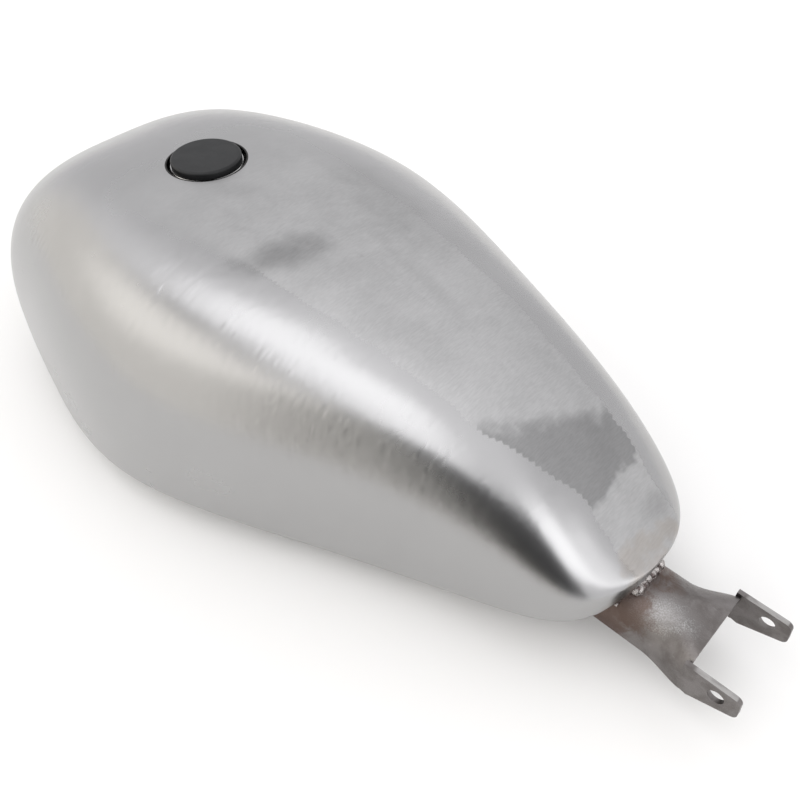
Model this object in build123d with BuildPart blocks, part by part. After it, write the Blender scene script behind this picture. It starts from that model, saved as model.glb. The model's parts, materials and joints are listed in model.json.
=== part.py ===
from build123d import *
import os
from math import asin, cos, degrees, pi, sin, sqrt

import numpy as np

# Bare steel teardrop fuel tank for a motorcycle. Two pressed skins are welded along the top centre
# line and closed underneath by two floor pans and an arched tunnel that the frame's backbone runs
# through. +X points forward, +Y to the rider's left, +Z up. z = 0 is the lowest point of the floor
# pans, and x = 0 is half way between the front of the nose and the tips of the rear bracket's ears.
# All sizes are millimetres.

# ---- driving dimensions: the outer form ----
overall_length = 577.4
body_length = 508.5
front_x = overall_length / 2
wall = 1.5
bead_height = 1.2
seam_width = 2.4

# The form is a row of sections. A station runs from 0 at the front tip to 1 at the rear tip, and
# x follows a cosine of it, which rounds both ends. Each section has a half width, a top and a bottom.
stations = (0, 0.12, 0.28, 0.45, 0.62, 0.78, 0.90, 1)
half_widths = (0, 86.5, 128.0, 143.5, 98.8, 65.1, 42.7, 0)
tops = (93.5, 124.7, 157.5, 162.5, 153.5, 117.7, 79.3, 74)
bottoms = (93.5, 48.5, 5.0, 1.5, 3.0, 20.6, 46.5, 74)
belt_front = 0.05
belt_rear = 0.30
shoulder_power_front = 2.8
shoulder_power_rear = 3.6
skirt_power = 3.4
skirt_taper = 0.085
skirt_taper_power = 1.5
outline_points = 32
loft_sections = 22
first_station = 0.012
first_inner_station = 0.035

# ---- driving dimensions: floor and tunnel ----
floor_share = 0.78
floor_front_station = 0.27
floor_rear_station = 0.83
floor_cut_height = 60
floor_rim_spans = 6
tunnel_front_radius = 36
tunnel_front_centre_z = 40
tunnel_rear_radius = 25.6
tunnel_rear_centre_z = 26
tunnel_overrun = 20
baffle_x = front_x - 262
baffle_thickness = 1.2
baffle_hole_radius = 16
baffle_holes = ((0, 122), (78, 66), (-78, 66))

# ---- driving dimensions: filler ----
filler_back = 149.3
filler_hole_radius = 26.9
collar_wall = 1.0
collar_depth = 9
filler_cut_depth = 27
neck_outer_radius = 24.4
neck_bore_radius = 21.5
neck_lip_drop = 1.7
neck_lip_break = 0.8
neck_length = 24
plug_head_radius = 23.0
plug_head_height = 4.6
plug_head_edge = 1.6
plug_stem_radius = 21.2
plug_stem_wall = 3.2
seal_groove_margin = 0.15
plug_stem_length = 14
plug_gap = 0.3
seal_ring_radius = 20.2
seal_cord_radius = 1.1
seal_depth = 6

# ---- driving dimensions: rear bracket ----
sheet = 3.0
saddle_radius = 25.0
saddle_crest_z = 51.0
saddle_foot_z = 26.0
saddle_front_back = 452
saddle_corner_radius = 24.5
# The saddle flares towards the ears. Each entry is a distance behind the front tip, then the section's
# half width, its corner radius and the height of its feet.
saddle_flare = (
    (522, 25.0, 24.5, 26.0), (530, 25.9, 22.5, 25.9), (539, 28.0, 17.5, 25.6), (548, 29.4, 12.5, 25.2))
ear_outer_y = 29.4
ear_hole_radius = 4.5
ear_hole_back = 565
ear_hole_z = 40.2
ear_tip_radius = 4.2
ear_top_z = 49.0
ear_tip_z = 34.5
ear_root_back = 545
ear_root_foot_z = 26.2
ear_bend_back = 552
ear_bend_z = 24.7
ear_tip_rake = 1.5
ear_corner_loss = 0.45
saddle_weld_back = 494
saddle_weld_width = 7
saddle_weld_foot_z = 42
bead_count = 6
bead_first_y = 11.5
bead_pitch = 4.2
bead_back = 505.2
bead_z = 53.5
bead_radius = 3.8

# ---- driving dimensions: front bracket ----
front_ear_gap = 36
front_ear_radius = 13
front_bridge_z = 62
front_hole_radius = 5.25
front_hole_back = 20.5
front_hole_z = 33

# ---- driving dimensions: fittings underneath ----
bung_back = 400
bung_y = 47
bung_radius = 11.5
bung_bore_radius = 7.3
bung_foot_z = 4.5
bung_head_z = 22
hose_back = 52
hose_y = 60
hose_outer_radius = 4.0
hose_bore_radius = 2.8
hose_bead_radius = 4.7
hose_bead_height = 2.0
hose_foot_z = 5.5
hose_head_z = 36
vent_back = 425
vent_y = -44
vent_foot_z = 3.4
vent_head_gap = 12
weld_ring_width = 2.6
weld_layer = 2.4
thread_break = 1.0


def smooth_curve(knots, values):
    """Natural cubic spline through the values, returned as a function of the station."""
    knots = np.array(knots, float)
    values = np.array(values, float)
    gaps = np.diff(knots)
    slopes = np.diff(values) / gaps
    system = np.eye(len(knots))
    load = np.zeros(len(knots))
    for i in range(1, len(knots) - 1):
        system[i, i - 1 : i + 2] = gaps[i - 1], 2 * (gaps[i - 1] + gaps[i]), gaps[i]
        load[i] = 6 * (slopes[i] - slopes[i - 1])
    bends = np.linalg.solve(system, load)

    def value(s):
        i = min(max(int(np.searchsorted(knots, s)) - 1, 0), len(gaps) - 1)
        ahead = knots[i + 1] - s
        behind = s - knots[i]
        cubic = (bends[i] * ahead**3 + bends[i + 1] * behind**3) / (6 * gaps[i])
        low = (values[i] / gaps[i] - bends[i] * gaps[i] / 6) * ahead
        high = (values[i + 1] / gaps[i] - bends[i + 1] * gaps[i] / 6) * behind
        return float(cubic + low + high)

    return value


half_width_at = smooth_curve(stations, half_widths)
top_at = smooth_curve(stations, tops)
bottom_at = smooth_curve(stations, bottoms)


def x_at(s, inset=0):
    """The place along the tank of a station, for a surface that lies inset inside the outer one."""
    return front_x - inset - (body_length - 2 * inset) / 2 * (1 - cos(pi * s))


def station_of(back):
    """The station that lies a distance behind the front tip."""
    return degrees(asin(sqrt(back / body_length))) / 90


def section_point(s, turn, inset=0):
    """A point of the section at station s. turn is 0 at the top centre and pi at the bottom centre."""
    low = bottom_at(s) + inset
    high = top_at(s) - inset
    half = half_width_at(s) - inset
    belt = low + (belt_front + (belt_rear - belt_front) * s) * (high - low)
    across, up = sin(turn), cos(turn)
    if up >= 0:
        power = shoulder_power_front + (shoulder_power_rear - shoulder_power_front) * s
        rise = high - belt
    else:
        power = skirt_power
        rise = belt - low
    reach = (abs(across) ** power + abs(up) ** power) ** (-1 / power)
    taper = 1 - skirt_taper * max(0.0, -reach * up) ** skirt_taper_power
    return half * reach * across * taper, belt + rise * reach * up


def form(inset, first):
    """The tank's closed form, drawn in by inset, as one solid lofted from station first to 1 - first."""
    with BuildPart() as solid:
        for step in range(loft_sections + 1):
            even = step / loft_sections
            crowded = (1 - cos(pi * even)) / 2
            s = first + (1 - 2 * first) * (even + crowded) / 2
            turns = [2 * pi * i / outline_points for i in range(outline_points + 1)]
            outline = [section_point(s, turn, inset) for turn in turns[:-1]]
            with BuildSketch(Plane.YZ.offset(x_at(s, inset))):
                with BuildLine():
                    add(Edge.make_spline(outline, periodic=True, parameters=turns))
                make_face()
        loft()
    return solid.part


def save(piece, name):
    """Labels one finished piece and writes it to its own file."""
    piece.label = name
    export_step(piece, f"parts/{name}.step")


def tunnel_space(grow):
    """The tapering space under the tunnel, with its sides moved out by grow."""
    front = (front_x + tunnel_overrun, tunnel_front_radius + grow, tunnel_front_centre_z)
    rear = (front_x - body_length - tunnel_overrun, tunnel_rear_radius + grow, tunnel_rear_centre_z)
    with BuildPart() as space:
        for x, radius, centre_z in (front, rear):
            left_foot, left_spring = (-radius, -tunnel_overrun), (-radius, centre_z)
            right_foot, right_spring = (radius, -tunnel_overrun), (radius, centre_z)
            with BuildSketch(Plane.YZ.offset(x)):
                with BuildLine():
                    Line(left_foot, left_spring)
                    ThreePointArc(left_spring, (0, centre_z + radius), right_spring)
                    Line(right_spring, right_foot)
                    Line(right_foot, left_foot)
                make_face()
        loft()
    return space.part


def floor_space(margin):
    """A left-hand prism over the floor. Its plan follows the tank's, drawn in by margin."""
    span = floor_rear_station - floor_front_station
    rim = [floor_front_station + span * i / floor_rim_spans for i in range(floor_rim_spans + 1)]
    plan = [(x_at(s), floor_share * half_width_at(s) - margin) for s in rim]
    with BuildPart() as prism:
        with BuildSketch(Plane.XY.offset(-tunnel_overrun)):
            with BuildLine():
                Spline(plan)
                Polyline(plan[-1], (plan[-1][0], 0), (plan[0][0], 0), plan[0])
            make_face()
        extrude(amount=tunnel_overrun + floor_cut_height)
    return prism.part


os.makedirs("parts", exist_ok=True)

# ---- the forms that every welded piece is cut from ----
outer_form = form(0, first_station)
inner_form = form(wall, first_inner_station)
bead_form = form(-bead_height, first_station)
tunnel_fuel_side = tunnel_space(wall)
tunnel_frame_side = tunnel_space(0)
floor_outline = floor_space(0)
floor_outline_inner = floor_space(seam_width)

# ---- the filler's place and axis ----
filler_station = station_of(filler_back)
filler_x = front_x - filler_back
filler_z = top_at(filler_station)
step_s = 0.005
rise = top_at(filler_station + step_s) - top_at(filler_station - step_s)
run = x_at(filler_station + step_s) - x_at(filler_station - step_s)
filler_plane = Plane(
    origin=(filler_x, 0, filler_z), x_dir=(0, 1, 0), z_dir=(-rise / run, 0, 1)
)
filler_profile_plane = Plane(
    origin=filler_plane.origin, x_dir=filler_plane.x_dir, z_dir=filler_plane.y_dir * -1
)


def turned(plane, profile):
    """A turned piece: profile holds its (radius, height) corners, and the plane's y axis is its axis."""
    with BuildPart() as piece:
        with BuildSketch(plane):
            with BuildLine():
                Polyline(profile, close=True)
            make_face()
        revolve(axis=Axis(plane.origin, plane.y_dir))
    return piece.part


def upright_plane(back, y):
    """The plane of a vertical fitting's profile: its x is the radius and its y is the height."""
    return Plane(origin=(front_x - back, y, 0), x_dir=(1, 0, 0), z_dir=(0, -1, 0))


# ---- the pressed shell, still in one piece ----
with BuildPart() as shell:
    add(outer_form)
    add(inner_form, mode=Mode.SUBTRACT)
    add(tunnel_fuel_side, mode=Mode.SUBTRACT)
    with BuildSketch(filler_plane.offset(-collar_depth)):
        Circle(filler_hole_radius)
    extrude(amount=filler_cut_depth, mode=Mode.SUBTRACT)

# ---- where the fittings stand: each one's profile plane, and its outer radius ----
bung_plane = upright_plane(bung_back, bung_y)
vent_plane = upright_plane(vent_back, vent_y)
hose_planes = [upright_plane(hose_back, side * hose_y) for side in (1, -1)]
fittings = [(bung_plane, bung_radius), (vent_plane, hose_outer_radius)]
fittings += [(plane, hose_outer_radius) for plane in hose_planes]


def fitting_column(plane, radius):
    """An upright cylinder through the floor at a fitting."""
    return turned(plane, [(0, -tunnel_overrun), (radius, -tunnel_overrun), (radius, floor_cut_height),
                          (0, floor_cut_height)])


fitting_holes = [fitting_column(plane, radius) for plane, radius in fittings]

# ---- the two side skins ----
left_of_seam = Plane(origin=(0, seam_width / 2, 0), z_dir=(0, 1, 0))
with BuildPart() as left_side_skin:
    add(shell.part)
    split(bisect_by=left_of_seam, keep=Keep.TOP)
    add(floor_outline, mode=Mode.SUBTRACT)
    add(fitting_holes, mode=Mode.SUBTRACT)
save(left_side_skin.part, "left_side_skin")

with BuildPart() as right_side_skin:
    mirror(left_side_skin.part, about=Plane.XZ)
save(right_side_skin.part, "right_side_skin")

# ---- the dressed weld along the top centre line, on both sides of the filler ----
with BuildPart() as top_seam_weld:
    Box(2 * overall_length, seam_width, 4 * max(tops))
    add(shell.part, mode=Mode.INTERSECT)
save(top_seam_weld.part, "top_seam_weld")

# ---- the floor of each lobe, and the welds round it ----
tunnel_weld_space = tunnel_space(wall + seam_width)
with BuildPart() as floor_blank:
    add(shell.part)
    add(floor_outline, mode=Mode.INTERSECT)
with BuildPart() as left_floor_seam_weld:
    add(floor_blank.part)
    add(floor_outline_inner, mode=Mode.SUBTRACT)
with BuildPart() as left_tunnel_seam_weld:
    add(floor_blank.part)
    add(floor_outline_inner, mode=Mode.INTERSECT)
    add(tunnel_weld_space, mode=Mode.INTERSECT)
with BuildPart() as left_pan_blank:
    add(floor_blank.part)
    add(floor_outline_inner, mode=Mode.INTERSECT)
    add(tunnel_weld_space, mode=Mode.SUBTRACT)

for side in ("left", "right"):
    for blank, name in (
        (left_pan_blank, "floor_pan"),
        (left_floor_seam_weld, "floor_seam_weld"),
        (left_tunnel_seam_weld, "tunnel_seam_weld"),
    ):
        with BuildPart() as floor_piece:
            if side == "left":
                add(blank.part)
            else:
                mirror(blank.part, about=Plane.XZ)
            if name == "floor_pan":
                add(fitting_holes, mode=Mode.SUBTRACT)
        save(floor_piece.part, f"{side}_{name}")

# ---- the arched tunnel panel ----
with BuildPart() as frame_tunnel:
    add(tunnel_fuel_side)
    add(tunnel_frame_side, mode=Mode.SUBTRACT)
    add(outer_form, mode=Mode.INTERSECT)
save(frame_tunnel.part, "frame_tunnel")

# ---- the pierced cross plate that stops the fuel surging ----
with BuildPart() as slosh_baffle:
    with BuildSketch(Plane.YZ.offset(baffle_x)):
        Rectangle(4 * max(half_widths), 4 * max(tops))
        with Locations(*baffle_holes):
            Circle(baffle_hole_radius, mode=Mode.SUBTRACT)
    extrude(amount=baffle_thickness)
    add(inner_form, mode=Mode.INTERSECT)
    add(tunnel_fuel_side, mode=Mode.SUBTRACT)
save(slosh_baffle.part, "slosh_baffle")

# ---- filler: recessed collar, turned neck, plug and its seal ----
collar_inner_radius = filler_hole_radius - collar_wall
collar_floor = collar_wall - collar_depth
with BuildPart() as filler_collar:
    add(turned(filler_profile_plane, [
        (neck_outer_radius, -collar_depth), (filler_hole_radius, -collar_depth),
        (filler_hole_radius, collar_depth), (collar_inner_radius, collar_depth),
        (collar_inner_radius, collar_floor), (neck_outer_radius, collar_floor)]))
    add(outer_form, mode=Mode.INTERSECT)
save(filler_collar.part, "filler_collar")

filler_neck = turned(filler_profile_plane, [
    (neck_bore_radius, -neck_length), (neck_outer_radius, -neck_length),
    (neck_outer_radius, -neck_lip_drop - neck_lip_break),
    (neck_outer_radius - neck_lip_break, -neck_lip_drop),
    (neck_bore_radius + neck_lip_break, -neck_lip_drop),
    (neck_bore_radius, -neck_lip_drop - neck_lip_break)])
save(filler_neck, "filler_neck")

head_foot = plug_gap - neck_lip_drop
stem_foot = head_foot - plug_stem_length
groove_half = seal_cord_radius + seal_groove_margin
groove_radius = seal_ring_radius - groove_half
with BuildPart() as filler_plug:
    with BuildSketch(filler_profile_plane):
        with BuildLine():
            Polyline(
                (0, head_foot + plug_head_height), (plug_head_radius, head_foot + plug_head_height),
                (plug_head_radius, head_foot), (plug_stem_radius, head_foot),
                (plug_stem_radius, groove_half - seal_depth), (groove_radius, groove_half - seal_depth),
                (groove_radius, -groove_half - seal_depth), (plug_stem_radius, -groove_half - seal_depth),
                (plug_stem_radius, stem_foot), (plug_stem_radius - plug_stem_wall, stem_foot),
                (plug_stem_radius - plug_stem_wall, head_foot), (0, head_foot), close=True)
        make_face()
    revolve(axis=Axis(filler_plane.origin, filler_plane.z_dir))
    rim_edges = edges().filter_by(GeomType.CIRCLE).group_by(Axis.Z)[-1]
    fillet(rim_edges, plug_head_edge)
save(filler_plug.part, "filler_plug")

with BuildPart() as filler_plug_seal:
    with BuildSketch(filler_profile_plane):
        with Locations((seal_ring_radius, -seal_depth)):
            Circle(seal_cord_radius)
    revolve(axis=Axis(filler_plane.origin, filler_plane.z_dir))
save(filler_plug_seal.part, "filler_plug_seal")

# ---- rear bracket: a half-round saddle whose sides flare out into two drilled ears ----


def saddle_section(back, half, corner, foot_z):
    """The sheet's section at a distance behind the front tip: an upturned U with round corners."""
    with BuildSketch(Plane.YZ.offset(front_x - back)) as section:
        for width, crest, radius, mode in (
            (half, saddle_crest_z, corner, Mode.ADD),
            (half - sheet, saddle_crest_z - sheet, corner - sheet, Mode.SUBTRACT),
        ):
            spring = crest - radius
            bulge = radius * sin(pi / 4)
            with BuildLine():
                Line((-width, foot_z), (-width, spring))
                ThreePointArc((-width, spring), (radius - width - bulge, spring + bulge),
                              (radius - width, crest))
                Line((radius - width, crest), (width - radius, crest))
                ThreePointArc((width - radius, crest), (width - radius + bulge, spring + bulge),
                              (width, spring))
                Line((width, spring), (width, foot_z))
                Line((width, foot_z), (-width, foot_z))
            make_face(mode=mode)
    return section.sketch


straight_saddle = (saddle_front_back, saddle_radius, saddle_corner_radius, saddle_foot_z)
ear_far_back = overall_length + ear_corner_loss
ear_profile = [
    (ear_root_back, ear_root_foot_z), (ear_bend_back, ear_bend_z), (ear_far_back, ear_tip_z),
    (ear_far_back - ear_tip_rake, ear_top_z), (ear_root_back, ear_top_z)]
with BuildPart() as rear_mount_bracket:
    loft(sections=[saddle_section(*straight_saddle), saddle_section(*saddle_flare[0])])
    loft(sections=[saddle_section(*station) for station in saddle_flare])
    for side in (1, -1):
        ear_plane = Plane(origin=(front_x, side * ear_outer_y, 0), x_dir=(-1, 0, 0), z_dir=(0, 1, 0))
        with BuildSketch(ear_plane):
            with BuildLine():
                Polyline(ear_profile, close=True)
            make_face()
            tips = vertices().group_by(Axis.X)[-1] + vertices().group_by(Axis.X)[-2]
            fillet(tips, ear_tip_radius)
        extrude(amount=-side * sheet)
    with BuildSketch(Plane.XZ):
        with Locations((front_x - ear_hole_back, ear_hole_z)):
            Circle(ear_hole_radius)
    extrude(amount=2 * ear_outer_y, both=True, mode=Mode.SUBTRACT)
save(rear_mount_bracket.part, "rear_mount_bracket")

# ---- welds between the rear bracket and the tank: a fillet under the nose, and a run of beads on it ----
mid_sheet_radius = saddle_radius - sheet / 2
saddle_hollow = turned(
    Plane(origin=(0, 0, saddle_crest_z - saddle_radius), x_dir=(0, 0, 1), z_dir=(0, -1, 0)),
    [(0, -overall_length), (mid_sheet_radius, -overall_length), (mid_sheet_radius, overall_length),
     (0, overall_length)])
with BuildPart() as saddle_weld:
    with BuildSketch(Plane.YZ.offset(front_x - saddle_weld_back - saddle_weld_width)):
        with Locations((0, saddle_weld_foot_z + tunnel_rear_radius)):
            Rectangle(4 * tunnel_rear_radius, 2 * tunnel_rear_radius)
    extrude(amount=saddle_weld_width)
    add(tunnel_frame_side, mode=Mode.INTERSECT)
    add(rear_mount_bracket.part, mode=Mode.SUBTRACT)
    add(saddle_hollow, mode=Mode.SUBTRACT)
save(saddle_weld.part, "saddle_weld")

with BuildPart() as nose_weld:
    for step in range(bead_count):
        across = bead_first_y - step * bead_pitch
        with Locations((front_x - bead_back, across, bead_z)):
            Sphere(bead_radius)
    add(outer_form, mode=Mode.SUBTRACT)
    add(rear_mount_bracket.part, mode=Mode.SUBTRACT)
    add(saddle_weld.part, mode=Mode.SUBTRACT)
save(nose_weld.part, "nose_weld")

# ---- front bracket: a cross plate in the tunnel's mouth between two drilled ears that hang below it ----
bracket_x = front_x - front_hole_back
front_ear_rise = 2 * front_bridge_z
for side, name in ((1, "front_left_ear"), (-1, "front_right_ear")):
    with BuildPart() as front_ear:
        with BuildSketch(Plane.XZ.offset(-side * front_ear_gap / 2)):
            with Locations((bracket_x, front_hole_z)):
                Circle(front_ear_radius)
            with Locations((bracket_x, front_hole_z + front_ear_rise / 2)):
                Rectangle(2 * front_ear_radius, front_ear_rise)
            with Locations((bracket_x, front_hole_z)):
                Circle(front_hole_radius, mode=Mode.SUBTRACT)
        extrude(amount=-side * sheet)
        add(tunnel_frame_side, mode=Mode.INTERSECT)
    save(front_ear.part, name)

with BuildPart() as front_cross_plate:
    with Locations((bracket_x, 0, front_bridge_z - sheet / 2)):
        Box(2 * front_ear_radius, front_ear_gap, sheet)
save(front_cross_plate.part, "front_cross_plate")

bracket_half = front_ear_gap / 2 + sheet
weld_inner_space = tunnel_space(-weld_layer)
with BuildPart() as front_bracket_welds:
    for side in (1, -1):
        with Locations((bracket_x, side * (bracket_half + weld_layer / 2), front_bridge_z)):
            Box(2 * front_ear_radius, weld_layer, front_bridge_z)
    add(tunnel_frame_side, mode=Mode.INTERSECT)
    add(weld_inner_space, mode=Mode.SUBTRACT)
save(front_bracket_welds.part, "front_bracket_welds")

# ---- fittings underneath ----
petcock_bung = turned(bung_plane, [
    (bung_bore_radius + thread_break, bung_foot_z), (bung_radius, bung_foot_z),
    (bung_radius, bung_head_z), (bung_bore_radius, bung_head_z),
    (bung_bore_radius, bung_foot_z + thread_break)])
save(petcock_bung, "petcock_bung")


def hose_spigot(plane, foot_z, head_z):
    """An upright tube with a raised bead near its foot, which holds a hose on."""
    bead_top = foot_z + hose_bead_height
    bead_break = (hose_bead_radius - hose_outer_radius) / 2
    return turned(plane, [
        (hose_bore_radius, foot_z), (hose_outer_radius, foot_z),
        (hose_bead_radius, foot_z + bead_break), (hose_bead_radius, bead_top - bead_break),
        (hose_outer_radius, bead_top), (hose_outer_radius, head_z), (hose_bore_radius, head_z)])


for plane, name in zip(hose_planes, ("left_crossover_spigot", "right_crossover_spigot")):
    save(hose_spigot(plane, hose_foot_z, hose_head_z), name)

vent_head_z = top_at(station_of(vent_back)) - vent_head_gap
save(hose_spigot(vent_plane, vent_foot_z, vent_head_z), "vent_tube")

# ---- weld rings that stand proud of the floor round every fitting ----
with BuildPart() as fitting_welds:
    for plane, radius in fittings:
        add(fitting_column(plane, radius + weld_ring_width))
    add(bead_form, mode=Mode.INTERSECT)
    add(outer_form, mode=Mode.SUBTRACT)
    add(fitting_holes, mode=Mode.SUBTRACT)
save(fitting_welds.part, "fitting_welds")
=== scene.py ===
import json
from math import cos, degrees, radians, sin

import bpy
from mathutils import Matrix, Vector


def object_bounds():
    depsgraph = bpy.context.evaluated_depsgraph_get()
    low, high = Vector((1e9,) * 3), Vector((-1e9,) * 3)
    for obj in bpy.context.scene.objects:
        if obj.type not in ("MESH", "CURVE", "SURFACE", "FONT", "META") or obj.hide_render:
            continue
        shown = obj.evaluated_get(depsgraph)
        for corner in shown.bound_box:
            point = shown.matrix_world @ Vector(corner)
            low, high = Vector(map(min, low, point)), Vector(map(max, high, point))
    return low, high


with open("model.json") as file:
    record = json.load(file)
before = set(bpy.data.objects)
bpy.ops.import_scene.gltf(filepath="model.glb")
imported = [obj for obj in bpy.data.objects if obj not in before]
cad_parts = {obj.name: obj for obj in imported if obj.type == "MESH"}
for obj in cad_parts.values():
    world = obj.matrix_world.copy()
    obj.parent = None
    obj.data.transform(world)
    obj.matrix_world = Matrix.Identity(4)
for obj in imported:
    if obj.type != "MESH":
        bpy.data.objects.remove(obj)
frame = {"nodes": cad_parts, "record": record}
nodes = frame["nodes"]
cad_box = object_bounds()

# The tank lies along X with its front to +X, and its lowest point is on z = 0. All sizes are metres and all
# angles are degrees. "Behind" is the distance behind the front tip, and +Y is the rider's left.
front_x = cad_box[1][0]

# ---- the camera, the floor and the light ----
camera_azimuth = 46.77
camera_height = 46.36
camera_roll = -0.21
camera_distance = 0.5371
camera_target = Vector((front_x - 0.3205, 0, 0.0594))
camera_lens = 37.7
camera_sensor = 36
sheet_size = 12
sheet_reach = 0.27
sheet_colour = (0.87, 0.865, 0.85, 1)
studio_strength = 1.3
cool_light = (1.0, 0.997, 1.015, 1)
warm_light = (1.03, 1.0, 0.95, 1)

# ---- places on the tank ----
filler_centre = (front_x - 0.1493, 0, 0.1605)
rear_weld_centre = (front_x - 0.506, 0.004, 0.050)

# ---- the sanded band along the top ----
# Its half width on each side, as straight runs that add up: where a run starts and ends behind the front
# tip, and what it adds there.
band_left = ((0.20, 0.41, 0.0565, 0.040), (0.415, 0.47, 0, -0.021))
band_right = ((0.268, 0.404, 0.0565, 0.033), (0.404, 0.45, 0, -0.004))
band_side_blend = 0.01
band_fade_in = (0.10, 0.24)
edge_sharpens = (0.20, 0.26)
edge_softness = (0.011, 0.0007)
edge_wander = 0.0015
tooth_pitch = 0.0017
tooth_depth = 0.9

# Outside the band the sheet is painted darker towards the front, a painted shade that stands in for the
# dimmer reflection there: where that starts and ends, and the share left there.
front_painted_shade = (0.0, 0.17, 0.88, 1.0)

# ---- the smudges ----
# The big one crosses the band near its rear end. It starts on a bowed, leaning line.
smudge_start = 0.437
smudge_start_softness = 0.006
smudge_bow = 4.0
smudge_lean = 0.45
smudge_end = (0.467, 0.472)
smudge_raggedness = 0.004
smudge_end_raggedness = -0.7
smudge_depth = -0.36
# The faint ones are ellipses: place behind and to the left, radii, turn, and how much they darken.
faint_smudges = (
    ((0.257, 0.036), (0.030, 0.014), 110, -0.36), ((0.264, -0.048), (0.055, 0.020), 14, -0.12),
    ((0.192, 0.010), (0.024, 0.008), 150, -0.06), ((0.325, -0.011), (0.060, 0.006), 10, -0.06),
    ((0.489, -0.019), (0.013, 0.006), 90, -0.16), ((0.075, -0.020), (0.020, 0.010), 60, -0.05),
)
smudge_fade = (0.2, 1.4)
smudge_wander = 0.25

# ---- the heat tint round the weld under the rear tip, by distance from the weld ----
heat_wander = 0.006
straw_starts = (0.022, 0.029)
straw_ends = (0.030, 0.036)
straw_amount = 0.24
straw_colour = (0.33, 0.25, 0.17, 1)
grey_scale = ((0.012, 0.024), 0.6, (0.22, 0.205, 0.20, 1))
black_scale = ((0.006, 0.014), 0.8, (0.09, 0.075, 0.07, 1))

# ---- the rear bracket ----
# A painted highlight: a lighter, speckled patch painted on the saddle's crest. Where it is, its radii and its
# fade.
crest_highlight_place = (0.521, 0.010)
crest_highlight_radii = (0.019, 0.011)
crest_highlight_fade = (0.3, 1.2)
# The ears' upper edges are pale: partly bare sheared metal, partly a painted highlight. Above this height
# they are painted lighter.
sheared_highlit_height = (0.0485, 0.0489)
ears_start = (0.549, 0.552)
bracket_heat_ends = (0.505, 0.524)
bracket_heat_wander = 0.009

# ---- the painted shade on the wall of the recess round the filler's neck, by distance from the filler's centre ----
neck_shade_starts = (0.0246, 0.0254)
neck_shade_ends = (0.030, 0.034)


def new_material(name):
    """A new node material. Returns it, its node tree and its shader."""
    material = bpy.data.materials.new(name)
    material.use_nodes = True
    tree = material.node_tree
    shader = tree.nodes["Principled BSDF"]
    return material, tree, shader


def grey(level, warmth=0.0):
    """A linear colour of one lightness, with red up and blue down by warmth."""
    return (level * (1 + warmth), level, level * (1 - warmth), 1)


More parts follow.
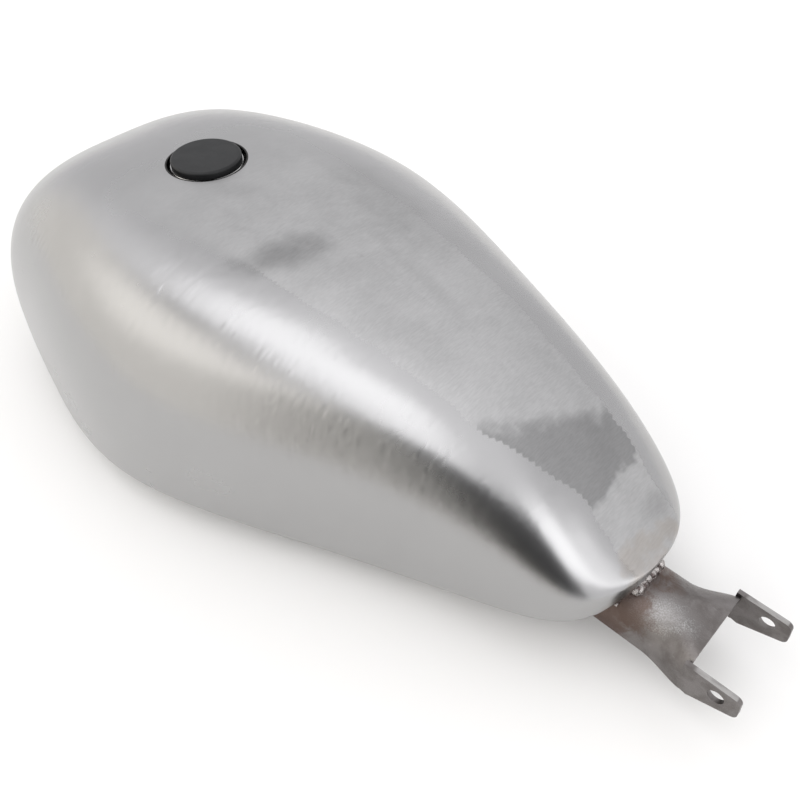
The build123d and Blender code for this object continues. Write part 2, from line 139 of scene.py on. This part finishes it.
class Graph:
    """Short ways to add nodes to one node tree."""

    def __init__(self, tree, space="Object"):
        self.tree = tree
        self.place = self.add("ShaderNodeTexCoord").outputs[space]

    def add(self, kind, **settings):
        node = self.tree.nodes.new(kind)
        for key, value in settings.items():
            setattr(node, key, value)
        return node

    def plug(self, socket, value):
        """Links a socket to an output, or sets it to a constant."""
        if isinstance(value, bpy.types.NodeSocket):
            self.tree.links.new(value, socket)
        else:
            socket.default_value = value

    def stretch(self, scale, turn=0):
        """The place, turned about Z and scaled, for a texture."""
        node = self.add("ShaderNodeMapping")
        self.plug(node.inputs["Vector"], self.place)
        node.inputs["Rotation"].default_value = (0, 0, radians(turn))
        node.inputs["Scale"].default_value = scale
        return node.outputs["Vector"]

    def noise(self, vector, scale, detail=3, rough=0.5, warp=0.0):
        node = self.add("ShaderNodeTexNoise")
        self.plug(node.inputs["Vector"], vector)
        node.inputs["Scale"].default_value = scale
        node.inputs["Detail"].default_value = detail
        node.inputs["Roughness"].default_value = rough
        node.inputs["Distortion"].default_value = warp
        return node.outputs["Fac"]

    def ramp(self, value, low, high, out_low=0.0, out_high=1.0):
        """value between low and high, carried smoothly to out_low and out_high."""
        node = self.add("ShaderNodeMapRange", interpolation_type="SMOOTHSTEP")
        self.plug(node.inputs["Value"], value)
        ends = {"From Min": low, "From Max": high, "To Min": out_low, "To Max": out_high}
        for socket, number in ends.items():
            self.plug(node.inputs[socket], number)
        return node.outputs["Result"]

    def fade(self, value, low, high, amount=1.0):
        """amount up to low, and nothing past high."""
        return self.ramp(value, low, high, amount, 0.0)

    def vary(self, noise, low, high):
        """A noise, most of which lies between 0.3 and 0.7, carried to low and high."""
        return self.ramp(noise, 0.3, 0.7, low, high)

    def line(self, value, low, high, out_low, out_high):
        """value between low and high, carried in a straight line to out_low and out_high."""
        node = self.add("ShaderNodeMapRange", interpolation_type="LINEAR")
        for socket, number in zip(node.inputs, (value, low, high, out_low, out_high)):
            self.plug(socket, number)
        return node.outputs["Result"]

    def math(self, operation, *values):
        node = self.add("ShaderNodeMath", operation=operation)
        for socket, value in zip(node.inputs, values):
            self.plug(socket, value)
        return node.outputs[0]

    def times(self, *values):
        """The product of all the values."""
        product = values[0]
        for value in values[1:]:
            product = self.math("MULTIPLY", product, value)
        return product

    def plus(self, *values):
        """The sum of all the values."""
        total = values[0]
        for value in values[1:]:
            total = self.math("ADD", total, value)
        return total

    def blend(self, amount, a, b):
        """A number between a and b."""
        node = self.add("ShaderNodeMix", data_type="FLOAT")
        for socket, value in zip((node.inputs[0], node.inputs[2], node.inputs[3]), (amount, a, b)):
            self.plug(socket, value)
        return node.outputs[0]

    def mix(self, amount, a, b):
        """A colour between a and b."""
        node = self.add("ShaderNodeMix", data_type="RGBA")
        self.plug(node.inputs["Factor"], amount)
        self.plug(node.inputs[6], a)
        self.plug(node.inputs[7], b)
        return node.outputs[2]

    def bump(self, height, strength, distance, under=None):
        node = self.add("ShaderNodeBump")
        node.inputs["Strength"].default_value = strength
        node.inputs["Distance"].default_value = distance
        self.plug(node.inputs["Height"], height)
        if under:
            self.plug(node.inputs["Normal"], under)
        return node.outputs["Normal"]

    def axes(self):
        """The place's x, y and z."""
        node = self.add("ShaderNodeSeparateXYZ")
        self.plug(node.inputs[0], self.place)
        return node.outputs

    def distance(self, point):
        """The distance from a fixed point."""
        node = self.add("ShaderNodeVectorMath", operation="DISTANCE")
        self.plug(node.inputs[0], self.place)
        node.inputs[1].default_value = point
        return node.outputs["Value"]

    def ellipse(self, behind, y, centre, radii, turn=0):
        """0 at an ellipse's centre and 1 on its outline, in the plane of behind and y."""
        along = self.plus(behind, -centre[0])
        across = self.plus(y, -centre[1])
        cosine, sine = cos(radians(turn)), sin(radians(turn))
        first = self.math("MULTIPLY_ADD", along, cosine / radii[0], self.times(across, sine / radii[0]))
        second = self.math("MULTIPLY_ADD", along, -sine / radii[1], self.times(across, cosine / radii[1]))
        return self.math("SQRT", self.plus(*(self.math("POWER", share, 2.0) for share in (first, second))))


def sanded_band(g, behind, y, wander):
    """1 inside the sanded band and 0 outside it. Its edge is soft at the front and toothed at the rear."""
    left, right = (g.plus(*(g.line(behind, *run) for run in runs)) for runs in (band_left, band_right))
    half = g.blend(g.ramp(y, -band_side_blend, band_side_blend), right, left)
    teeth = g.times(g.math("PINGPONG", behind, tooth_pitch), tooth_depth)
    edge = g.plus(g.math("SUBTRACT", g.math("ABSOLUTE", y), half), teeth)
    edge = g.plus(edge, g.vary(wander, -edge_wander, edge_wander))
    soft = g.line(behind, *edge_sharpens, *edge_softness)
    return g.times(g.fade(edge, g.times(soft, -1.0), soft), g.ramp(behind, *band_fade_in))


def smudges(g, behind, y, wander, band):
    """How much light the smudges leave: the big one across the band, and the faint ones."""
    ragged = g.vary(g.noise(g.place, 75, detail=2), -smudge_raggedness, smudge_raggedness)
    bow = g.math("MULTIPLY_ADD", g.times(y, y), smudge_bow, g.times(y, smudge_lean))
    start = g.plus(behind, ragged, bow, -smudge_start)
    end = g.plus(behind, g.times(ragged, smudge_end_raggedness))
    started = g.ramp(start, -smudge_start_softness, smudge_start_softness)
    shade = g.math("MULTIPLY_ADD", g.times(started, g.fade(end, *smudge_end), band), smudge_depth, 1.0)
    uneven = g.vary(wander, -smudge_wander, smudge_wander)
    for place, radii, turn, depth in faint_smudges:
        reach = g.plus(g.ellipse(behind, y, place, radii, turn), uneven)
        shade = g.times(shade, g.ramp(reach, *smudge_fade, 1.0 + depth, 1.0))
    return shade


def heat_tinted(g, colour, wander):
    """A colour with the weld's heat tint over it: straw, then grey scale, then black close in."""
    heat = g.plus(g.distance(rear_weld_centre), g.vary(wander, -heat_wander, heat_wander))
    straw = g.times(g.ramp(heat, *straw_starts), g.fade(heat, *straw_ends, straw_amount))
    colour = g.mix(straw, colour, straw_colour)
    for span, amount, scale in (grey_scale, black_scale):
        colour = g.mix(g.fade(heat, *span, amount), colour, scale)
    return colour


def skin(name):
    """Raw pressed sheet, satin all over, with a duller sanded band along the top, and dark smudges."""
    material, tree, shader = new_material(name)
    g = Graph(tree)
    shader.inputs["Metallic"].default_value = 1.0
    x, y = g.axes()[:2]
    behind = g.math("SUBTRACT", front_x, x)
    wander = g.noise(g.place, 38, detail=3, rough=0.55)
    mottle = g.noise(g.place, 26, detail=4, rough=0.6, warp=0.4)
    blotch = g.noise(g.place, 120, detail=4, rough=0.65)
    strokes = g.noise(g.stretch((1, 0.12, 0.5), turn=16), 1700, detail=2)
    grain = g.noise(g.stretch((0.25, 1, 1)), 1100, detail=3)

    band = sanded_band(g, behind, y, wander)
    # Outside the band: painted shade darkens the colour towards the front.
    outside = g.times(g.vary(mottle, 0.407, 0.423), g.line(behind, *front_painted_shade))
    inside = g.plus(g.vary(mottle, 0.418, 0.462), g.vary(blotch, -0.010, 0.010))
    inside = g.plus(inside, g.ramp(strokes, 0.25, 0.75, -0.024, 0.024))
    level = g.times(g.blend(band, outside, inside), smudges(g, behind, y, wander, band))
    colour = g.mix(level, grey(0.0), (1.0, 0.996, 0.996, 1))
    g.plug(shader.inputs["Base Color"], heat_tinted(g, colour, wander))

    rough = g.blend(band, g.vary(mottle, 0.25, 0.275), g.vary(blotch, 0.42, 0.50))
    g.plug(shader.inputs["Roughness"], rough)
    rub = g.times(band, g.plus(strokes, -0.5))
    g.plug(shader.inputs["Normal"], g.bump(grain, 0.01, 0.0002, g.bump(rub, 0.05, 0.0003)))
    return material


def plain_metal(name, low, high, rough, dents, neck_shaded=False):
    """Bare metal with a fine grain, between two lightnesses. Where asked, it gets painted shade: black on the
    recess wall round the filler's neck.
    """
    material, tree, shader = new_material(name)
    g = Graph(tree)
    shader.inputs["Metallic"].default_value = 1.0
    cloud = g.noise(g.place, 70, detail=4, rough=0.6)
    grain = g.noise(g.place, 700, detail=4, rough=0.6)
    colour = g.mix(cloud, grey(low, 0.01), grey(high, 0.01))
    if neck_shaded:
        # Painted shade: the wall of the recess round the filler's neck is painted near black.
        reach = g.distance(filler_centre)
        recess_shade = g.times(g.ramp(reach, *neck_shade_starts), g.fade(reach, *neck_shade_ends))
        colour = g.mix(recess_shade, colour, grey(0.03, 0.05))
    g.plug(shader.inputs["Base Color"], colour)
    g.plug(shader.inputs["Roughness"], g.vary(grain, rough - 0.06, rough + 0.06))
    g.plug(shader.inputs["Normal"], g.bump(grain, dents, 0.0004))
    return material


def weld_metal():
    """An as-welded bead: silvery ripples, with brown-grey scale in patches."""
    material, tree, shader = new_material("weld_metal")
    g = Graph(tree)
    shader.inputs["Metallic"].default_value = 1.0
    scale = g.noise(g.place, 260, detail=4, rough=0.6)
    ripple = g.noise(g.place, 520, detail=3, warp=0.6)
    bare = g.ramp(scale, 0.40, 0.58)
    g.plug(shader.inputs["Base Color"], g.mix(bare, (0.13, 0.105, 0.10, 1), (0.52, 0.49, 0.475, 1)))
    g.plug(shader.inputs["Roughness"], g.ramp(scale, 0.40, 0.58, 0.42, 0.20))
    g.plug(shader.inputs["Normal"], g.bump(ripple, 0.9, 0.0012))
    return material


def bracket_steel():
    """Hot-rolled sheet: brownish grey, with a painted highlight on the saddle's crest, pale sheared edges
    that are partly a painted highlight, and brown near the weld.
    """
    material, tree, shader = new_material("bracket_steel")
    g = Graph(tree)
    shader.inputs["Metallic"].default_value = 1.0
    x, y, z = g.axes()
    behind = g.math("SUBTRACT", front_x, x)
    cloud = g.noise(g.place, 85, detail=5, rough=0.65, warp=0.5)
    specks = g.noise(g.place, 1500, detail=3, rough=0.6)
    marks = g.noise(g.stretch((0.3, 1, 1)), 330, detail=4, rough=0.6)
    colour = g.mix(g.ramp(cloud, 0.35, 0.65), (0.150, 0.137, 0.131, 1), (0.215, 0.201, 0.196, 1))
    colour = g.mix(g.ramp(marks, 0.60, 0.72, 0.0, 0.35), colour, (0.32, 0.31, 0.305, 1))

    # Painted highlight: a lighter, speckled patch on the saddle's crest.
    reach = g.plus(g.ellipse(behind, y, crest_highlight_place, crest_highlight_radii), g.vary(cloud, -0.4, 0.4))
    crest_highlight = g.times(g.fade(reach, *crest_highlight_fade), g.ramp(specks, 0.42, 0.62, 0.25, 1.0))
    colour = g.mix(crest_highlight, colour, (0.36, 0.355, 0.35, 1))
    # Pale upper edges of the ears: partly bare sheared metal, partly a painted highlight.
    sheared_and_highlit = g.times(g.ramp(z, *sheared_highlit_height), g.ramp(behind, *ears_start))
    colour = g.mix(g.times(sheared_and_highlit, g.ramp(marks, 0.3, 0.6, 0.4, 0.9)), colour, (0.44, 0.43, 0.42, 1))
    heat = g.plus(behind, g.vary(cloud, -bracket_heat_wander, bracket_heat_wander))
    colour = g.mix(g.fade(heat, *bracket_heat_ends, 0.75), colour, (0.115, 0.075, 0.060, 1))
    g.plug(shader.inputs["Base Color"], colour)
    g.plug(shader.inputs["Roughness"], g.vary(specks, 0.30, 0.46))
    g.plug(shader.inputs["Normal"], g.bump(specks, 0.45, 0.0004, g.bump(marks, 0.25, 0.0005)))
    return material


def black_moulding(name, rough):
    """Black plastic or rubber with a fine moulded grain and a little wear."""
    material, tree, shader = new_material(name)
    g = Graph(tree)
    grain = g.noise(g.place, 1200, detail=3, rough=0.6)
    wear = g.noise(g.place, 90, detail=3)
    g.plug(shader.inputs["Base Color"], g.mix(wear, grey(0.008, -0.05), grey(0.015, -0.05)))
    g.plug(shader.inputs["Roughness"], g.vary(wear, rough - 0.05, rough + 0.05))
    shader.inputs["Specular IOR Level"].default_value = 0.32
    g.plug(shader.inputs["Normal"], g.bump(grain, 0.12, 0.0002))
    return material


looks = {
    "skin_steel": skin("skin_steel"),
    "dressed_weld": skin("dressed_weld"),
    "floor_steel": plain_metal("floor_steel", 0.30, 0.38, rough=0.36, dents=0.12),
    "weld_metal": weld_metal(),
    "machined_steel": plain_metal("machined_steel", 0.42, 0.50, rough=0.22, dents=0.05, neck_shaded=True),
    "bracket_steel": bracket_steel(),
    "black_plastic": black_moulding("black_plastic", rough=0.46),
    "seal_rubber": black_moulding("seal_rubber", rough=0.6),
}
for part in frame["record"]["subparts"]:
    mesh = nodes[part["node"]].data
    mesh.materials.clear()
    mesh.materials.append(looks[part["material_slot"]])

# ---- the floor: a broad white sheet, whose one edge is on the camera's side of the tank ----
camera_side = Vector((-cos(radians(camera_azimuth)), sin(radians(camera_azimuth)), 0))
bpy.ops.mesh.primitive_plane_add(size=sheet_size)
floor = bpy.context.object
floor.name = "studio_floor"
floor.rotation_euler = (0, 0, camera_side.to_track_quat("X", "Z").to_euler().z)
floor.location = Vector((camera_target.x, 0, 0)) + camera_side * (sheet_reach - sheet_size / 2)
material, tree, shader = new_material("studio_floor")
shader.inputs["Base Color"].default_value = sheet_colour
shader.inputs["Roughness"].default_value = 0.9
shader.inputs["Specular IOR Level"].default_value = 0.1
floor.data.materials.append(material)

# ---- the studio round it: soft panels and gaps, each placed by its azimuth and its elevation ----
world = bpy.data.worlds.new("studio")
bpy.context.scene.world = world
world.use_nodes = True
sky = Graph(world.node_tree, "Generated")
east, north, height = sky.axes()
azimuth = sky.times(sky.math("ARCTAN2", north, east), degrees(1))
elevation = sky.times(sky.math("ARCSINE", height), degrees(1))


def rectangle(low, high):
    """1 inside a soft rectangle. A corner is its azimuth, its elevation and how soft its two edges are."""
    inside = 1.0
    for value, start, end in ((azimuth, low[0], high[0]), (elevation, low[1], high[1])):
        if start is not None:
            inside = sky.times(inside, sky.ramp(value, start - low[2], start + low[2]))
        if end is not None:
            inside = sky.times(inside, sky.fade(value, end - high[2], end + high[2]))
    return inside


# The lower edge of the long overhead panel is an arch. Above is the height over it.
arch_azimuth = 48
arch_half_span = 30
arch_top = 52.5
arch_fall = 9.5
from_top = sky.math("POWER", sky.times(sky.plus(azimuth, -arch_azimuth), 1 / arch_half_span), 2.0)
above = sky.math("SUBTRACT", elevation, sky.math("MULTIPLY_ADD", from_top, -arch_fall, arch_top))
# A lobe of that panel hangs down to the arch, and a dark gap runs under the arch.
lobe = sky.times(sky.ramp(azimuth, 62, 74), sky.fade(azimuth, 108, 122))
lobe = sky.times(lobe, sky.times(sky.ramp(above, 3, 9), sky.fade(elevation, 56, 66)))
gap = sky.times(sky.ramp(above, -7, -2), sky.fade(above, 0, 4))
gap = sky.times(gap, sky.ramp(azimuth, 14, 27), sky.fade(azimuth, 84, 104))

# Each entry is the light's level, and where it is. A later one lies over the earlier ones.
level = 1.0
for amount, inside in (
    (0.70, rectangle((-175, -90, 25), (0, 56, 12))),
    (0.92, rectangle((0, -90, 15), (180, 45, 8))),
    (1.85, rectangle((-2, 53, 9), (118, 75, 6))),
    (1.80, lobe),
    (1.38, rectangle((22, 24, 9), (93, 47, 6))),
    (0.08, gap),
    (0.05, rectangle((95, -26, 13), (151, 32, 5))),
    (2.00, rectangle((153, 10, 5), (None, 39, 6))),
    (1.50, rectangle((None, 12, 6), (-156, 29, 6))),
):
    level = sky.blend(inside, level, amount)

# The light is a little warm below the arch, on the tank's left. The camera sees a plain pale backdrop.
seen = sky.add("ShaderNodeLightPath").outputs["Is Camera Ray"]
warm = sky.times(sky.ramp(azimuth, -10, 10), sky.fade(above, -6, -1), sky.math("SUBTRACT", 1.0, seen))
background = world.node_tree.nodes["Background"]
sky.plug(background.inputs["Color"], sky.mix(warm, cool_light, warm_light))
sky.plug(background.inputs["Strength"], sky.blend(seen, sky.times(level, studio_strength), 1.0))

# ---- the camera ----
turn, rise = radians(camera_azimuth), radians(camera_height)
back = Vector((-cos(rise) * cos(turn), cos(rise) * sin(turn), sin(rise)))
right = Vector((0, 0, 1)).cross(back).normalized()
up = back.cross(right)
facing = Matrix((right, up, back)).transposed() @ Matrix.Rotation(radians(camera_roll), 3, "Z")
camera = bpy.data.objects.new("camera", bpy.data.cameras.new("camera"))
bpy.context.scene.collection.objects.link(camera)
camera.matrix_world = Matrix.Translation(camera_target + back * camera_distance) @ facing.to_4x4()
camera.data.lens = camera_lens
camera.data.sensor_width = camera_sensor
bpy.context.scene.camera = camera
bpy.context.scene.view_settings.view_transform = "Standard"
